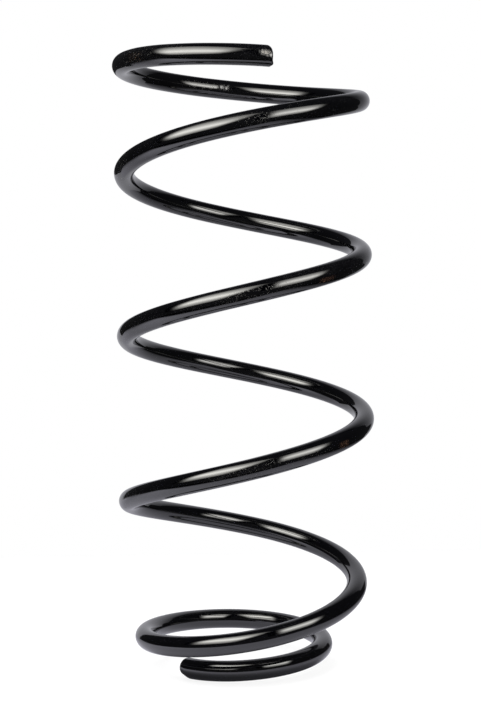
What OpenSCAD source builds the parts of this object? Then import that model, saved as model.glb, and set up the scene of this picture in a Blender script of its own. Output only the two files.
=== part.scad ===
// Coil spring of a car's suspension strut, as wound: one round wire in a right-handed helix.
// The foot is a pigtail, a smaller end coil that sits in the lower seat and winds out into the body.
// The top is an open coil that flattens to meet the upper seat. Both ends of the wire are cut square.
// The axis of the body is Z, and Z = 0 is the plane that the lowest point of the pigtail stands on.

/* [Wire] */
// Diameter of the round wire over its coating
wire_d = 12.5; // [9:0.5:14]
// Width of the bevel round each cut end of the wire
end_bevel = 1; // [0.4:0.2:2]

/* [Body] */
// Diameter of the body's coils, from wire centre to wire centre
coil_mean_d = 145; // [125:1:175]
// Turns of wire from one cut end to the other
wire_turns = 5.175; // [4.5:0.005:7]
// Rise for one turn at the foot of the body
lower_pitch = 104; // [80:1:120]
// Rise for one turn in the middle of the body
middle_pitch = 101.5; // [80:0.5:120]
// Rise for one turn at the head of the body
upper_pitch = 98.5; // [75:0.5:120]
// Turns from the foot's cut end to the middle of the body
middle_turn = 2.3; // [1.8:0.1:3.2]

/* [Pigtail] */
// Diameter of the pigtail at its cut end, from wire centre to wire centre
pigtail_mean_d = 86; // [75:1:105]
// Turns over which the pigtail widens to the body's diameter
widening_turns = 1.6; // [1.4:0.05:2.4]
// How early the pigtail widens, where 1 is an even spiral
widening_ease = 1.1; // [1:0.1:2]
// Rise for one turn of the pigtail
pigtail_pitch = 16; // [8:1:20]
// Turns of the pigtail that keep its own pitch
seat_turns = 0.93; // [0.6:0.01:1.1]
// Turns over which the pitch climbs from the pigtail's to the body's
climb_turns = 0.38; // [0.3:0.02:0.8]
// Place of the pigtail's centre to the side of the body's axis
pigtail_side_offset = -6; // [-12:1:0]
// Place of the pigtail's centre behind the body's axis
pigtail_back_offset = 4; // [-15:1:10]
// Depth of the pigtail from front to back against its width
pigtail_oval = 1.06; // [1:0.02:1.2]
// Lean of the pigtail's coil down towards the front, in degrees
pigtail_lean = 2; // [0:0.5:4]
// Turns over which the offset, the oval and the lean die out
offset_turns = 2.4; // [1.6:0.1:2.8]
// Direction of the foot's cut end seen from the axis, in degrees from +X
foot_angle = -138.5; // [-180:0.5:180]

/* [Top coil] */
// Turns at the top over which the pitch dies away
fade_turns = 1.2; // [0.9:0.02:1.5]
// Turns at the very top where it falls the faster
crest_turns = 0.57; // [0.3:0.01:0.7]
// Rise for one turn where the faster fall begins
crest_pitch = 57; // [35:1:70]
// Rise for one turn at the top's cut end, below zero where the wire dips
end_pitch = -24; // [-40:1:0]
// Turns of wire behind that end that keep the same rise
tip_turns = 0.14; // [0.05:0.01:0.25]

/* [Hidden] */
// Rings of points for each turn, and points in each ring
rings_per_turn = 64;
sides = 16;
// Length of wire beyond each end that is cut away to leave a flat face
overcut = 2;

wire_r = wire_d / 2;
rings = ceil(wire_turns * rings_per_turn);
ring_step = wire_turns / rings;

// Pitch against turns from the foot's cut end, joined by straight ramps
pitch_stations = [
    [0, pigtail_pitch],
    [seat_turns, pigtail_pitch],
    [seat_turns + climb_turns, lower_pitch],
    [middle_turn, middle_pitch],
    [wire_turns - fade_turns, upper_pitch],
    [wire_turns - crest_turns, crest_pitch],
    [wire_turns - tip_turns, end_pitch],
    [wire_turns, end_pitch]
];

function pitch_at(turn) = lookup(turn, pitch_stations);

function smooth(t) = let(c = max(0, min(1, t))) c * c * (3 - 2 * c);

function mean_r_at(turn) =
    let(left = max(0, 1 - turn / widening_turns))
    (coil_mean_d - (coil_mean_d - pigtail_mean_d) * pow(left, widening_ease)) / 2;

// How much of the pigtail's offset, oval and lean is left at a turn
function left_at(turn) = 1 - smooth(turn / offset_turns);

// Rise of each ring's centre above the foot's cut end, summed up along the wire
rises = [
    for (
        i = 0, z = 0;
        i <= rings;
        i = i + 1,
        z = z + ring_step * (pitch_at((i - 1) * ring_step) + pitch_at(i * ring_step)) / 2
    ) z
];

function wound_at(i) =
    let(
        turn = i * ring_step,
        angle = foot_angle + 360 * turn,
        r = mean_r_at(turn),
        left = left_at(turn)
    )
    [
        left * pigtail_side_offset + r * cos(angle),
        left * pigtail_back_offset + r * sin(angle) * (1 + left * (pigtail_oval - 1)),
        rises[i] + left * tan(pigtail_lean) * r * sin(angle)
    ];

wound = [for (i = [0:rings]) wound_at(i)];
lowest = min([for (place = wound) place[2]]);
centres = [for (place = wound) place + [0, 0, wire_r - lowest]];

function unit(v) = v / norm(v);

// Direction of the wire at a ring, taken from the rings on either side of it
function heading_at(i) = unit(centres[min(rings, i + 1)] - centres[max(0, i - 1)]);

foot_heading = heading_at(0);
top_heading = heading_at(rings);
foot_end = centres[0];
top_end = centres[rings];

// Each ring is a centre, a heading and a radius. The wire narrows by the bevel at each cut end.
stations = concat(
    [
        [foot_end - overcut * foot_heading, foot_heading, wire_r - end_bevel],
        [foot_end, foot_heading, wire_r - end_bevel],
        [foot_end + end_bevel * foot_heading, foot_heading, wire_r]
    ],
    [for (i = [1:rings - 1]) [centres[i], heading_at(i), wire_r]],
    [
        [top_end - end_bevel * top_heading, top_heading, wire_r],
        [top_end, top_heading, wire_r - end_bevel],
        [top_end + overcut * top_heading, top_heading, wire_r - end_bevel]
    ]
);

function ring_points(station) =
    let(
        across = unit(cross(station[1], [0, 0, 1])),
        upward = cross(across, station[1])
    )
    [
        for (k = [0:sides - 1])
            let(angle = 360 * k / sides)
            station[0] + station[2] * (cos(angle) * across + sin(angle) * upward)
    ];

module swept_wire() {
    last = len(stations) - 1;
    points = [for (station = stations) each ring_points(station)];
    walls = [
        for (i = [0:last - 1], k = [0:sides - 1])
            let(
                next = (k + 1) % sides,
                low = i * sides,
                high = low + sides
            )
            each [
                [low + k, high + k, high + next],
                [low + k, high + next, low + next]
            ]
    ];
    foot_cap = [for (k = [0:sides - 1]) k];
    top_cap = [for (k = [sides - 1:-1:0]) last * sides + k];
    polyhedron(points = points, faces = concat([foot_cap], walls, [top_cap]));
}

// What the shear takes off beyond a cut end, a short round just wider than the wire
module cut_off(place, heading) {
    margin = 0.5;
    translate(place)
        rotate([0, acos(heading[2]), atan2(heading[1], heading[0])])
            cylinder(r = wire_r + margin, h = overcut + margin, $fn = 48);
}

module coil_wire() {
    color([0.07, 0.07, 0.08])
        difference() {
            swept_wire();
            cut_off(foot_end, -foot_heading);
            cut_off(top_end, top_heading);
        }
}

coil_wire();
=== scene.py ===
"""Looks of the strut spring: one round coated wire, wound into a coil with a pigtail foot.

Everything is in metres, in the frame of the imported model. Z is the axis of the coils, and the foot stands on
Z = 0.
"""

import math

import bpy
import numpy as np
from mathutils import Matrix, Vector


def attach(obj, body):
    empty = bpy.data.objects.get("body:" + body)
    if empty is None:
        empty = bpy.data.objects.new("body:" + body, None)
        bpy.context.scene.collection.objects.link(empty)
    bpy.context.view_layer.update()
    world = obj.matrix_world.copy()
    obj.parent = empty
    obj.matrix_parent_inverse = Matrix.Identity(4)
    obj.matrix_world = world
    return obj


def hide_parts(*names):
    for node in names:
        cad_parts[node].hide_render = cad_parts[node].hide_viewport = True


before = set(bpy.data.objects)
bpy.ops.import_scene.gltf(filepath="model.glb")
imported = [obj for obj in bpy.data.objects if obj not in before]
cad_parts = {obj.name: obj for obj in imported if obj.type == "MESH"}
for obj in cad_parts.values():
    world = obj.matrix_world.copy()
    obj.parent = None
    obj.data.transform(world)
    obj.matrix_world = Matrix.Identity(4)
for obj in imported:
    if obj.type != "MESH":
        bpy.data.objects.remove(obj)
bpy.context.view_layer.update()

scene = bpy.context.scene
FULL_TURN = 2 * math.pi

# Sizes of the coil, the same ones as in the part's source

WIRE_R = 0.00625
COIL_MEAN_D = 0.145
WIRE_TURNS = 5.175
LOWER_PITCH = 0.104
MIDDLE_PITCH = 0.1015
UPPER_PITCH = 0.0985
MIDDLE_TURN = 2.3
PIGTAIL_MEAN_D = 0.086
WIDENING_TURNS = 1.6
WIDENING_EASE = 1.1
PIGTAIL_PITCH = 0.016
SEAT_TURNS = 0.93
CLIMB_TURNS = 0.38
PIGTAIL_SIDE_OFFSET = -0.006
PIGTAIL_BACK_OFFSET = 0.004
PIGTAIL_OVAL = 1.06
PIGTAIL_LEAN = math.radians(2)
OFFSET_TURNS = 2.4
FOOT_ANGLE = math.radians(-138.5)
FADE_TURNS = 1.2
CREST_TURNS = 0.57
CREST_PITCH = 0.057
END_PITCH = -0.024
TIP_TURNS = 0.14

# The skin is a hair inside the solid's round, so that it stays in the solid's box
SKIN_R = WIRE_R - 0.00006
SIDES = 48
RING_STEP = 0.0017
END_ROUND = 0.0011
# How far the shear tore the top's cut face back behind its burr
TORN_BACK = 0.0007
# Where the run in the paint lies: turns from the foot's cut end, and degrees round the wire from outward
PAINT_RUN_TURN = 4.664
PAINT_RUN_SIDE = 176


def smooth(t):
    t = np.clip(t, 0.0, 1.0)
    return t * t * (3 - 2 * t)


def gauss(x, width):
    return np.exp(-((x / width) ** 2))


class CoilLine:
    """The wire's centreline, looked up by the distance along it from the foot's cut end."""

    def __init__(self):
        turn = np.linspace(0, WIRE_TURNS, 20001)
        stations = [
            (0, PIGTAIL_PITCH),
            (SEAT_TURNS, PIGTAIL_PITCH),
            (SEAT_TURNS + CLIMB_TURNS, LOWER_PITCH),
            (MIDDLE_TURN, MIDDLE_PITCH),
            (WIRE_TURNS - FADE_TURNS, UPPER_PITCH),
            (WIRE_TURNS - CREST_TURNS, CREST_PITCH),
            (WIRE_TURNS - TIP_TURNS, END_PITCH),
            (WIRE_TURNS, END_PITCH),
        ]
        pitch = np.interp(turn, [s[0] for s in stations], [s[1] for s in stations])
        rise = (pitch[1:] + pitch[:-1]) / 2 * np.diff(turn)
        left = np.maximum(0, 1 - turn / WIDENING_TURNS)
        mean_r = (COIL_MEAN_D - (COIL_MEAN_D - PIGTAIL_MEAN_D) * left**WIDENING_EASE) / 2
        share = 1 - smooth(turn / OFFSET_TURNS)
        angle = FOOT_ANGLE + FULL_TURN * turn
        x = share * PIGTAIL_SIDE_OFFSET + mean_r * np.cos(angle)
        y = share * PIGTAIL_BACK_OFFSET + mean_r * np.sin(angle) * (1 + share * (PIGTAIL_OVAL - 1))
        z = np.concatenate([[0], np.cumsum(rise)]) + share * math.tan(PIGTAIL_LEAN) * mean_r * np.sin(angle)
        self.turn = turn
        self.points = np.column_stack([x, y, z - z.min() + WIRE_R])
        steps = np.linalg.norm(np.diff(self.points, axis=0), axis=1)
        self.along = np.concatenate([[0], np.cumsum(steps)])
        self.length = self.along[-1]
        self.headings = np.gradient(self.points, self.along, axis=0)

    def distance_of(self, turn):
        return float(np.interp(turn, self.turn, self.along))

    def at(self, s):
        """Centre, heading and the two cross directions at distances s, which may run past the ends."""
        inside = np.clip(s, 0, self.length)
        centre = np.column_stack([np.interp(inside, self.along, self.points[:, k]) for k in range(3)])
        heading = np.column_stack([np.interp(inside, self.along, self.headings[:, k]) for k in range(3)])
        heading /= np.linalg.norm(heading, axis=1)[:, None]
        centre += heading * (s - inside)[:, None]
        across = np.cross(heading, [0.0, 0.0, 1.0])
        across /= np.linalg.norm(across, axis=1)[:, None]
        upward = np.cross(across, heading)
        return centre, heading, across, upward


line = CoilLine()
SKIN_END = line.length - TORN_BACK


def lattice_noise(seed, s, angle, cell_s, cell_angle):
    """Smooth seeded noise from -1 to 1 over the distance along the wire and the angle round it."""
    rng = np.random.default_rng(seed)
    rows = 4096
    cols = max(2, int(round(FULL_TURN / cell_angle)))
    table = rng.uniform(-1, 1, (rows, cols))
    x = s / cell_s
    y = (angle / FULL_TURN) * cols
    i, j = np.floor(x).astype(int), np.floor(y).astype(int)
    fx, fy = smooth(x - i), smooth(y - j)
    a = table[i % rows, j % cols] * (1 - fx) + table[(i + 1) % rows, j % cols] * fx
    b = table[i % rows, (j + 1) % cols] * (1 - fx) + table[(i + 1) % rows, (j + 1) % cols] * fx
    return a * (1 - fy) + b * fy


def stations_along():
    """Distances of the rings: close together at both ends and at the run in the paint, wider elsewhere."""
    run_s = line.distance_of(PAINT_RUN_TURN)
    fine = [
        (0.0, 0.012, 0.0005),
        (SKIN_END - 0.022, SKIN_END, 0.0004),
        (run_s - 0.008, run_s + 0.008, 0.0004),
    ]
    marks = [0.0]
    while marks[-1] < SKIN_END:
        step = RING_STEP
        for low, high, small in fine:
            if low - RING_STEP <= marks[-1] <= high:
                step = small
        marks.append(marks[-1] + step)
    marks = np.array(marks[:-1])
    past_rounds = END_ROUND * 1.05
    marks = marks[(marks > past_rounds) & (marks < SKIN_END - past_rounds)]
    quarter = END_ROUND * (1 - np.cos(np.linspace(0, math.pi / 2, 7)))
    return np.concatenate([quarter, marks, SKIN_END - quarter[::-1]])


def round_off(s):
    """How far the skin draws in at distance s, for the rounded rim of each cut end."""
    from_end = np.minimum(np.minimum(s, SKIN_END - s), END_ROUND)
    gap = END_ROUND - from_end
    return END_ROUND - np.sqrt(np.maximum(END_ROUND**2 - gap**2, 0))


def turned(angles, degrees):
    """Angles round the wire as measured from a direction in degrees, between half a turn back and forth."""
    return (angles - math.radians(degrees) + math.pi) % FULL_TURN - math.pi


def skin_radius(grid_s, grid_a):
    """Radius of the skin, with its wear, at distances along the wire and angles round it."""
    radius = SKIN_R - round_off(grid_s)

    # The coating is a little uneven, and has a small raised run on the inside of the top coil
    radius += 0.00002 * lattice_noise(3, grid_s, grid_a, 0.011, 0.9)
    turn_off = turned(grid_a, PAINT_RUN_SIDE)
    slanted = grid_s + 0.5 * turn_off * WIRE_R
    along_off = (slanted - line.distance_of(PAINT_RUN_TURN)) / 0.0030
    off_run = np.hypot(along_off, turn_off * WIRE_R / 0.0024)
    broken = lattice_noise(5, slanted, grid_a, 0.0015, 0.26)
    radius += gauss(off_run - 0.65, 0.42) * (0.00011 + 0.00010 * broken)

    # The top end is scuffed where the shear held it, and its upper edge is bruised
    to_top = SKIN_END - grid_s
    scuff = smooth(1 - to_top / 0.012) * gauss(turned(grid_a, 20), 0.75)
    radius -= scuff * 0.00016 * (1 + lattice_noise(8, grid_s, grid_a, 0.0009, 0.16))
    radius -= 0.0011 * smooth(1 - to_top / 0.0036) ** 2 * gauss(turned(grid_a, 62), 0.95)

    # The foot's end is rubbed round on its underside
    radius -= 0.0016 * smooth(1 - grid_s / 0.0065) ** 1.5 * gauss(turned(grid_a, -75), 1.0)
    return radius


def burr_reach(s, around):
    """How far the low burr under the top's cut stands out past the cut."""
    under = turned(around, -59)
    lip = gauss(under, 0.30) + 0.30 * gauss(under + 0.75, 0.22)
    to_top = (SKIN_END - s)[:, None]
    return smooth(1 - to_top / 0.0016) * lip[None, :] * 0.0008


def ring_to_ring(first, second):
    """Faces between two rings of the skin, given the number of each one's first point."""
    return [(first + k, second + k, second + (k + 1) % SIDES, first + (k + 1) % SIDES) for k in range(SIDES)]


def closing_rings(seed, way, rim, middle, heading, around):
    """Rings that draw a cut end's rim in to its middle, torn a little rough by the shear.

    Way is 1 at the top and -1 at the foot.
    """
    rings = []
    for share in np.linspace(1, 0, 9)[1:-1]:
        swirl = (around + 6 * share) % FULL_TURN
        rough = lattice_noise(seed, share * np.cos(around) * WIRE_R + 0.3, swirl, 0.0011, 0.5)
        hollow = math.sin(math.pi * min(1, 2 * (1 - share)) / 2)
        torn = (0.00016 * rough - 0.00025 * hollow) * way
        ring = middle + (rim - middle) * share
        flat = ((ring - middle) @ heading)[:, None] * heading
        rings.append(ring - flat * (1 - share**3) + torn[:, None] * heading)
    return rings


def store(mesh, name, values):
    attribute = mesh.attributes.new(name, "FLOAT", "POINT")
    attribute.data.foreach_set("value", np.asarray(values, np.float32))


def build_wire():
    """The whole skin as one closed mesh, with the place of each point on the wire for the material."""
    s = stations_along()
    around = np.linspace(0, FULL_TURN, SIDES, endpoint=False)
    centre, heading, across, upward = line.at(s)
    grid_s, grid_a = np.meshgrid(s, around, indexing="ij")
    radius = skin_radius(grid_s, grid_a)
    outward = np.cos(grid_a)[:, :, None] * across[:, None, :]
    outward += np.sin(grid_a)[:, :, None] * upward[:, None, :]
    places = centre[:, None, :] + radius[:, :, None] * outward
    reach = burr_reach(s, around)
    places += reach[:, :, None] * heading[:, None, :]
    places += (reach * 0.45)[:, :, None] * outward

    rings = len(s)
    points = [places.reshape(-1, 3)]
    point_s, point_a = [grid_s.ravel()], [grid_a.ravel()]
    faces = []
    for i in range(rings - 1):
        faces += ring_to_ring(i * SIDES, (i + 1) * SIDES)

    count = rings * SIDES
    for seed, way, ring in ((11, -1, 0), (12, 1, rings - 1)):
        middle = centre[ring]
        previous = ring * SIDES
        for closing in closing_rings(seed, way, places[ring], middle, heading[ring], around):
            points.append(closing)
            point_s.append(np.full(SIDES, s[ring]))
            point_a.append(around)
            faces += [face[::way] for face in ring_to_ring(previous, count)]
            previous = count
            count += SIDES
        points.append((middle - way * 0.0002 * heading[ring])[None, :])
        point_s.append(np.array([s[ring]]))
        point_a.append(np.array([0.0]))
        faces += [(previous + k, count, previous + (k + 1) % SIDES)[::way] for k in range(SIDES)]
        count += 1

    mesh = bpy.data.meshes.new("spring_wire")
    mesh.from_pydata(np.concatenate(points).tolist(), [], faces)
    mesh.update()
    mesh.polygons.foreach_set("use_smooth", [True] * len(mesh.polygons))
    along, angle = np.concatenate(point_s), np.concatenate(point_a)
    store(mesh, "along", along)
    store(mesh, "to_top", SKIN_END - along)
    store(mesh, "side_cos", np.cos(angle))
    store(mesh, "side_sin", np.sin(angle))
    made = bpy.data.objects.new("spring_wire", mesh)
    scene.collection.objects.link(made)
    return made


class Nodes:
    """A few short ways to add and join nodes in one material's or world's tree."""

    def __init__(self, tree, out_kind):
        self.tree = tree
        self.tree.nodes.clear()
        self.out = self.node(out_kind)

    def node(self, kind, **values):
        made = self.tree.nodes.new(kind)
        for key, value in values.items():
            setattr(made, key, value)
        return made

    def join(self, source, target):
        self.tree.links.new(source, target)

    def set(self, socket, value):
        if isinstance(value, bpy.types.NodeSocket):
            self.join(value, socket)
        elif isinstance(value, tuple):
            socket.default_value = (*value, 1)
        else:
            socket.default_value = value

    def math(self, operation, a, b=0.0, clamp=False):
        made = self.node("ShaderNodeMath", operation=operation, use_clamp=clamp)
        self.set(made.inputs[0], a)
        self.set(made.inputs[1], b)
        return made.outputs[0]

    def spread(self, value, low, high, to_low=0.0, to_high=1.0, shape="SMOOTHSTEP"):
        """Carries a value from the span low to high over to the span to_low to to_high, held at its ends."""
        made = self.node("ShaderNodeMapRange", interpolation_type=shape)
        self.join(value, made.inputs["Value"])
        made.inputs["From Min"].default_value = low
        made.inputs["From Max"].default_value = high
        made.inputs["To Min"].default_value = to_low
        made.inputs["To Max"].default_value = to_high
        return made.outputs[0]

    def noise(self, coords, scale, detail=2.0, rough=0.5):
        made = self.node("ShaderNodeTexNoise")
        self.join(coords, made.inputs["Vector"])
        made.inputs["Scale"].default_value = scale
        made.inputs["Detail"].default_value = detail
        made.inputs["Roughness"].default_value = rough
        return made.outputs["Fac"]

    def value_of(self, name):
        return self.node("ShaderNodeAttribute", attribute_name=name).outputs["Fac"]

    def blend(self, share, first, second):
        made = self.node("ShaderNodeMix", data_type="RGBA")
        self.join(share, made.inputs[0])
        self.set(made.inputs[6], first)
        self.set(made.inputs[7], second)
        return made.outputs[2]

    def mix_shaders(self, share, first, second):
        made = self.node("ShaderNodeMixShader")
        self.join(share, made.inputs[0])
        self.join(first, made.inputs[1])
        self.join(second, made.inputs[2])
        return made.outputs[0]


class Shader(Nodes):
    """The nodes of one new material."""

    def __init__(self, name):
        self.material = bpy.data.materials.new(name)
        self.material.use_nodes = True
        super().__init__(self.material.node_tree, "ShaderNodeOutputMaterial")

    def object_coords(self):
        return self.node("ShaderNodeTexCoord").outputs["Object"]

    def facing(self, side_cos, side_sin, degrees):
        """Cosine of the angle round the wire from a direction in degrees."""
        way = math.radians(degrees)
        return self.math("ADD", self.math("MULTIPLY", side_cos, math.cos(way)),
                         self.math("MULTIPLY", side_sin, math.sin(way)))


# Marks on the coating: kind, turn, degrees round the wire from outward, half length and half width
MARKS = (
    ("stain", 2.265, -7, 0.0052, 0.0026),
    ("stain", 3.24, -22, 0.0070, 0.0018),
    ("brown", 4.99, -4, 0.0090, 0.0036),
    ("dust", 4.98, 0, 0.018, 0.0070),
    ("dust", 4.15, -5, 0.016, 0.0060),
    ("dust", 3.94, -12, 0.018, 0.0055),
    ("dust", 3.15, -12, 0.032, 0.0055),
    ("dust", 2.14, -12, 0.036, 0.0055),
    ("dust", 2.22, -24, 0.016, 0.0050),
    ("dust", 4.70, 178, 0.018, 0.0040),
    ("dull", 4.66, 176, 0.0050, 0.0028),
    ("dull", 0.72, 148, 0.0022, 0.0007),
    ("dull", 3.91, -76, 0.0040, 0.0018),
    ("dull", 1.92, -56, 0.0040, 0.0016),
    ("dull", 1.22, -45, 0.0045, 0.0014),
)

BLACK = (0.0008, 0.0008, 0.0014)
HAZE = (0.010, 0.010, 0.011)
DUST = (0.050, 0.049, 0.046)
BROWN = (0.030, 0.017, 0.009)
STAIN = (0.037, 0.019, 0.012)
DULL = (0.050, 0.049, 0.050)
BARE_DARK = (0.016, 0.015, 0.014)
BARE_BRIGHT = (0.38, 0.36, 0.33)


def mark_places(m, along, side_cos, side_sin):
    """For each kind of mark, 1 in the middle of its patches and 0 outside them."""
    places = {}
    for kind, turn, degrees, half_long, half_wide in MARKS:
        off = m.math("ABSOLUTE", m.math("SUBTRACT", along, line.distance_of(turn)))
        lengthwise = m.spread(off, half_long, half_long * 0.3)
        width = half_wide / WIRE_R
        towards = m.facing(side_cos, side_sin, degrees)
        sidewise = m.spread(towards, math.cos(width), math.cos(width * 0.3))
        mark = m.math("MULTIPLY", lengthwise, sidewise)
        places[kind] = m.math("MAXIMUM", places[kind], mark) if kind in places else mark
    return places


def dust_dots(m, coords, cloud):
    """Dots of dust in two sizes, as thick as the cloud says."""
    dust = None
    for cells, pick_low in ((1300, 0.46), (760, 0.56)):
        dots = m.node("ShaderNodeTexVoronoi", feature="F1")
        m.join(coords, dots.inputs["Vector"])
        dots.inputs["Scale"].default_value = cells
        dot = m.spread(dots.outputs["Distance"], 0.36, 0.16)
        pick = m.spread(m.noise(coords, cells * 0.5, 0.0), pick_low, pick_low + 0.08)
        layer = m.math("MULTIPLY", m.math("MULTIPLY", dot, pick), cloud)
        dust = layer if dust is None else m.math("MAXIMUM", dust, layer)
    return dust


def scuff_at(m, side_cos, side_sin):
    """The scuff beside the top's cut end: 1 in its middle and 0 outside it."""
    lengthwise = m.math("DIVIDE", m.math("SUBTRACT", m.value_of("to_top"), 0.0042), 0.0050)
    sidewise = m.math("DIVIDE", m.math("SUBTRACT", 1.0, m.facing(side_cos, side_sin, 11)), 0.15)
    off = m.math("SQRT", m.math("ADD", m.math("MULTIPLY", lengthwise, lengthwise), sidewise))
    return m.spread(off, 1.20, 0.05)


def coated_wire():
    """Black gloss coating with orange peel, dust, single marks and the bare scuff."""
    m = Shader("coated_wire_gloss_black")
    coords = m.object_coords()
    bsdf = m.node("ShaderNodeBsdfPrincipled")
    m.join(bsdf.outputs[0], m.out.inputs["Surface"])
    bsdf.inputs["IOR"].default_value = 1.7
    along = m.value_of("along")
    side_cos = m.value_of("side_cos")
    side_sin = m.value_of("side_sin")
    places = mark_places(m, along, side_cos, side_sin)
    outward = m.spread(side_cos, -0.3, 0.7)

    # Fine dust caught in the coating in patches, with a few specks elsewhere on the outside
    sparse = m.math("MULTIPLY", m.spread(m.noise(coords, 24), 0.56, 0.68), 0.55)
    dust = dust_dots(m, coords, m.math("MAXIMUM", places["dust"], m.math("MULTIPLY", sparse, outward)))

    # Brown specks, soft brown stains and dull smears
    brown = m.math("MULTIPLY", places["brown"], m.spread(m.noise(coords, 1200, 1.0, 0.7), 0.52, 0.66))
    stain = m.math("MULTIPLY", places["stain"], m.spread(m.noise(coords, 700, 2.0, 0.6), 0.25, 0.50))
    dull = m.math("MULTIPLY", places["dull"], m.spread(m.noise(coords, 650, 2.0, 0.7), 0.40, 0.60))

    # The coating is worn off in speckles over the scuff, and bare most in its middle
    scuff = scuff_at(m, side_cos, side_sin)
    chips = m.noise(coords, 1000, 3.0, 0.75)
    worn = m.spread(m.math("ADD", scuff, m.math("MULTIPLY", chips, 1.3)), 1.08, 1.62)
    bareness = m.math("ADD", chips, m.math("MULTIPLY", scuff, 0.30))
    bare = m.blend(m.spread(bareness, 0.66, 1.00), BARE_DARK, BARE_BRIGHT)

    # A faint haze on the outside of the body's coils, in clouds
    body = m.spread(along, line.distance_of(1.5), line.distance_of(2.0))
    haze = m.math("MULTIPLY", outward, body)
    for scale, detail, low, high in ((1250, 1.0, 0.48, 0.70), (26, 2.0, 0.42, 0.60)):
        haze = m.math("MULTIPLY", haze, m.spread(m.noise(coords, scale, detail), low, high))

    colour = m.blend(haze, BLACK, HAZE)
    for share, over in ((dust, DUST), (brown, BROWN), (stain, STAIN), (dull, DULL), (worn, bare)):
        colour = m.blend(share, colour, over)
    m.join(colour, bsdf.inputs["Base Color"])
    m.join(m.math("MULTIPLY", worn, 0.30), bsdf.inputs["Metallic"])

    rough = m.spread(m.noise(coords, 60, 3.0, 0.6), 0.3, 0.75, 0.050, 0.095)
    for share, more in ((worn, 0.38), (dust, 0.30), (m.math("MAXIMUM", brown, dull), 0.25)):
        rough = m.math("ADD", rough, m.math("MULTIPLY", share, more))
    m.join(rough, bsdf.inputs["Roughness"])

    # Orange peel in two sizes, dots of dust that stand up a little, and the scuff's broken surface
    height = m.math("MULTIPLY", m.noise(coords, 420), 0.000010)
    grain = m.noise(coords, 1700, 1.0)
    broken = m.math("MULTIPLY", worn, chips)
    for part, tall in ((grain, 0.0000016), (dust, 0.000018), (broken, 0.00025)):
        height = m.math("ADD", height, m.math("MULTIPLY", part, tall))
    bump = m.node("ShaderNodeBump")
    bump.inputs["Strength"].default_value = 1.0
    bump.inputs["Distance"].default_value = 1.0
    m.join(height, bump.inputs["Height"])
    m.join(bump.outputs[0], bsdf.inputs["Normal"])
    return m.material


wire = build_wire()
wire.data.materials.append(coated_wire())
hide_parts("coil_wire")
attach(wire, "root")


def sheet(name, corners, material):
    mesh = bpy.data.meshes.new(name)
    mesh.from_pydata([tuple(c) for c in corners], [], [tuple(range(len(corners)))])
    mesh.update()
    made = bpy.data.objects.new(name, mesh)
    scene.collection.objects.link(made)
    made.data.materials.append(material)
    return made


def pale(name, share, seen, mirrored, mirrored_level):
    """A pale matt surface that the camera sees as white.

    Share is how much of its look is not its own shading. Mirrored is the colour that gloss shows of it, which
    is a little cooler than the lamps' own, and mirrored_level gives its strength from the place on it.
    """
    m = Shader(name)
    path = m.node("ShaderNodeLightPath")
    split = m.node("ShaderNodeSeparateXYZ")
    m.join(m.object_coords(), split.inputs[0])
    matt = m.node("ShaderNodeBsdfDiffuse")
    matt.inputs["Color"].default_value = (0.85, 0.85, 0.85, 1)
    glow = m.node("ShaderNodeEmission")
    in_mirror = m.math("MAXIMUM", path.outputs["Is Glossy Ray"], path.outputs["Is Transmission Ray"])
    m.join(m.blend(in_mirror, (seen, seen, seen), mirrored), glow.inputs["Color"])
    above_one = m.math("SUBTRACT", mirrored_level(m, split.outputs), 1.0)
    m.join(m.math("ADD", m.math("MULTIPLY", in_mirror, above_one), 1.0), glow.inputs["Strength"])
    either = m.math("ADD", m.math("MULTIPLY", path.outputs["Is Camera Ray"], share), in_mirror, clamp=True)
    m.join(m.mix_shaders(either, matt.outputs[0], glow.outputs[0]), m.out.inputs["Surface"])
    return m.material


def table_level(m, place):
    """The table is lit most at its front left, fades to its edges, and is dim under the pigtail's front."""
    x, y = place["X"], place["Y"]
    lit = m.math("MULTIPLY", m.spread(y, 0.20, -0.11), m.spread(x, 0.0, -0.2, 0.84, 1.30))
    base = m.math("MULTIPLY", m.spread(x, -0.05, 0.25, 0.88, 0.50), m.spread(x, -0.12, -0.35, 1.0, 1.30))
    level = m.math("ADD", lit, base)
    slanted = m.math("ADD", y, m.math("MULTIPLY", x, 0.14))
    for edge in (m.spread(x, 0.34, 0.16), m.spread(x, -0.78, -0.40), m.spread(slanted, -0.26, -0.18)):
        level = m.math("MULTIPLY", level, edge)
    across = m.math("SUBTRACT", x, PIGTAIL_SIDE_OFFSET)
    along = m.math("SUBTRACT", y, PIGTAIL_BACK_OFFSET)
    squares = m.math("ADD", m.math("MULTIPLY", across, across), m.math("MULTIPLY", along, along))
    pigtail_r = PIGTAIL_MEAN_D / 2 + 0.001
    off_ring = m.math("ABSOLUTE", m.math("SUBTRACT", m.math("SQRT", squares), pigtail_r))
    shade = m.math("MULTIPLY", m.spread(off_ring, 0.042, 0.003, 0.0, 0.90), m.spread(y, 0.005, -0.025))
    return m.math("MULTIPLY", level, m.math("SUBTRACT", 1.0, shade))


def backdrop_level(m, place):
    """The backdrop fades upward and to the right."""
    upward = m.spread(place["Z"], 1.0, 0.30, 0.0, 0.76)
    return m.math("MULTIPLY", upward, m.spread(place["X"], 0.10, 0.62, 1.0, 0.45))


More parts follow.
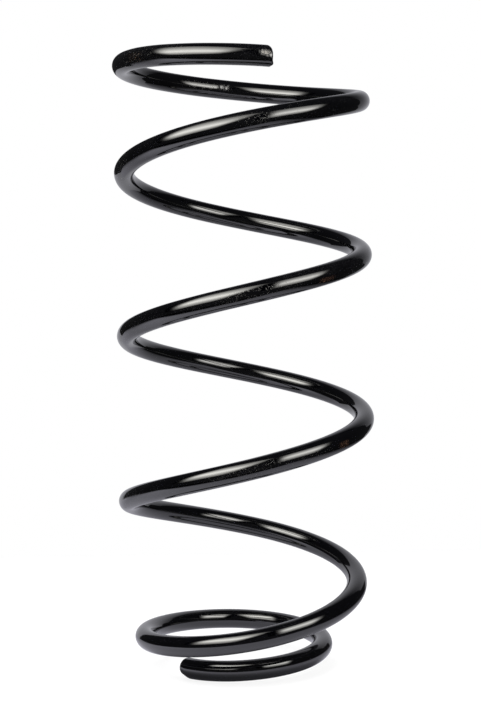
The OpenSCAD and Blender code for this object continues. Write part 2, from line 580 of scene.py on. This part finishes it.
BACK = 0.47
FRONT = -0.34
LEFT = -0.80
RIGHT = 0.36
BACKDROP_OUTLINE = (
    (-0.42, 0),
    (0.37, 0),
    (0.37, 0.16),
    (0.64, 0.27),
    (0.64, 0.98),
    (-0.09, 0.98),
    (-0.14, 0.38),
    (-0.30, 0.26),
    (-0.40, 0.12),
)
sheet(
    "floor",
    [(LEFT, FRONT, 0), (RIGHT, FRONT, 0), (RIGHT, BACK, 0), (LEFT, BACK, 0)],
    pale("floor_white", 0.80, 1.12, (0.57, 0.565, 0.635), table_level),
)
backdrop = sheet(
    "backdrop",
    [(x, BACK, z) for x, z in BACKDROP_OUTLINE],
    pale("backdrop_white", 1.0, 1.0, (0.78, 0.78, 0.84), backdrop_level),
)
# The camera looks past it to the world's own white, so that it doesn't hide the spring from behind
backdrop.visible_camera = False

CENTRE = Vector((0, 0, 0.19))


def aim(azimuth, elevation):
    """Direction from the spring's centre, where azimuth 0 is the front and 90 the right."""
    a, e = math.radians(azimuth), math.radians(elevation)
    return Vector((math.sin(a) * math.cos(e), -math.cos(a) * math.cos(e), math.sin(e)))


def soft_box(name, azimuth, elevation, distance, half_size, powers, turn, colour, strength):
    """A glowing panel that the gloss mirrors: bright in its middle and fading to its edges.

    The powers say how sharp its left edge, its right edge and its upper and lower edges are. Turn says how
    many degrees it faces away from the spring's centre, sideways and upward.
    """
    wide, tall = half_size
    place = CENTRE + aim(azimuth, elevation) * distance
    normal = aim(azimuth + turn[0], elevation + turn[1])
    u = Vector((0, 0, 1)).cross(normal).normalized()
    v = normal.cross(u)
    # The panel goes on past its half size, to where its glow has died away
    reach = 1.6
    quarters = ((-1, -1), (1, -1), (1, 1), (-1, 1))
    corners = [place + reach * (u * wide * a + v * tall * b) for a, b in quarters]
    m = Shader(name + "_glow")
    shifted = m.node("ShaderNodeVectorMath", operation="SUBTRACT")
    m.join(m.object_coords(), shifted.inputs[0])
    shifted.inputs[1].default_value = place
    sharp_left, sharp_right, sharp_tall = powers
    edges = ((-u, wide, sharp_left), (u, wide, sharp_right), (v, tall, sharp_tall), (-v, tall, sharp_tall))
    total = None
    for direction, half, power in edges:
        dot = m.node("ShaderNodeVectorMath", operation="DOT_PRODUCT")
        m.join(shifted.outputs[0], dot.inputs[0])
        dot.inputs[1].default_value = direction / half
        term = m.math("POWER", m.math("MAXIMUM", dot.outputs["Value"], 0.0), power)
        total = term if total is None else m.math("ADD", total, term)
    fade = m.math("EXPONENT", m.math("MULTIPLY", total, -1.0))
    glow = m.node("ShaderNodeEmission")
    glow.inputs["Color"].default_value = (*colour, 1)
    m.join(m.math("MULTIPLY", fade, strength), glow.inputs["Strength"])
    m.join(glow.outputs[0], m.out.inputs["Surface"])
    panel = sheet(name, corners, m.material)
    panel.visible_camera = False
    panel.visible_diffuse = False
    panel.visible_shadow = False
    panel.visible_transmission = False


soft_box("box_left", azimuth=-40, elevation=37.2, distance=0.533, half_size=(0.243, 0.200),
         powers=(6.0, 5.0, 1.35), turn=(-1, 8.5), colour=(1.0, 0.985, 0.93), strength=11.2)
soft_box("box_right", azimuth=46.6, elevation=26.4, distance=0.577, half_size=(0.203, 0.170),
         powers=(9.0, 4.5, 1.35), turn=(-20.5, 10), colour=(1.0, 0.985, 0.94), strength=9.0)


def lamp(name, azimuth, elevation, distance, size, watts):
    """A square lamp that lights the matt surfaces and isn't mirrored, because the soft boxes are."""
    data = bpy.data.lights.new(name, "AREA")
    data.shape = "RECTANGLE"
    data.size = size
    data.size_y = size
    data.energy = watts
    made = bpy.data.objects.new(name, data)
    scene.collection.objects.link(made)
    direction = aim(azimuth, elevation)
    made.location = CENTRE + direction * distance
    made.rotation_mode = "QUATERNION"
    made.rotation_quaternion = direction.to_track_quat("Z", "Y")
    made.visible_glossy = False
    made.visible_camera = False


lamp("lamp_left", azimuth=-40, elevation=50, distance=1.4, size=0.9, watts=16)
lamp("lamp_right", azimuth=45, elevation=45, distance=1.4, size=0.9, watts=12)
lamp("lamp_top", azimuth=180, elevation=75, distance=1.5, size=1.0, watts=10)


def make_room():
    """A dim room that the gloss mirrors, brighter at the front, and plain white for the camera itself."""
    world = bpy.data.worlds.new("studio")
    scene.world = world
    world.use_nodes = True
    w = Nodes(world.node_tree, "ShaderNodeOutputWorld")
    split = w.node("ShaderNodeSeparateXYZ")
    w.join(w.node("ShaderNodeTexCoord").outputs["Generated"], split.inputs[0])
    dim = w.node("ShaderNodeBackground")
    dim.inputs["Color"].default_value = (0.98, 0.98, 1.04, 1)
    w.join(w.spread(split.outputs["Y"], 0.1, -1.0, 0.028, 0.055, shape="LINEAR"), dim.inputs["Strength"])
    white = w.node("ShaderNodeBackground")
    white.inputs["Color"].default_value = (1, 1, 1, 1)
    by_camera = w.node("ShaderNodeLightPath").outputs["Is Camera Ray"]
    w.join(w.mix_shaders(by_camera, dim.outputs[0], white.outputs[0]), w.out.inputs["Surface"])


make_room()

# The photograph's own view: almost level, a little above the coil's middle, from about a metre away
CAMERA_PLACE = (0, -1.04399, 0.22631)
CAMERA_YAW = -0.00285
CAMERA_PITCH = -0.03384
CAMERA_ROLL = -0.01622
FOCAL_PIXELS = 1693.94
IMAGE_HEIGHT = 720
SENSOR = 36


def place_camera():
    yaw, pitch, roll = CAMERA_YAW, CAMERA_PITCH, CAMERA_ROLL
    forward = Vector((math.sin(yaw) * math.cos(pitch), math.cos(yaw) * math.cos(pitch), math.sin(pitch)))
    right = Vector((math.cos(yaw), -math.sin(yaw), 0))
    up = right.cross(forward)
    turned_right = right * math.cos(roll) + up * math.sin(roll)
    turned_up = up * math.cos(roll) - right * math.sin(roll)
    data = bpy.data.cameras.new("camera")
    data.sensor_width = SENSOR
    data.lens = SENSOR * FOCAL_PIXELS / IMAGE_HEIGHT
    data.clip_start = 0.01
    camera = bpy.data.objects.new("camera", data)
    scene.collection.objects.link(camera)
    axes = Matrix((turned_right, turned_up, -forward)).transposed().to_4x4()
    camera.matrix_world = Matrix.Translation(CAMERA_PLACE) @ axes
    scene.camera = camera


place_camera()
scene.view_settings.view_transform = "Standard"
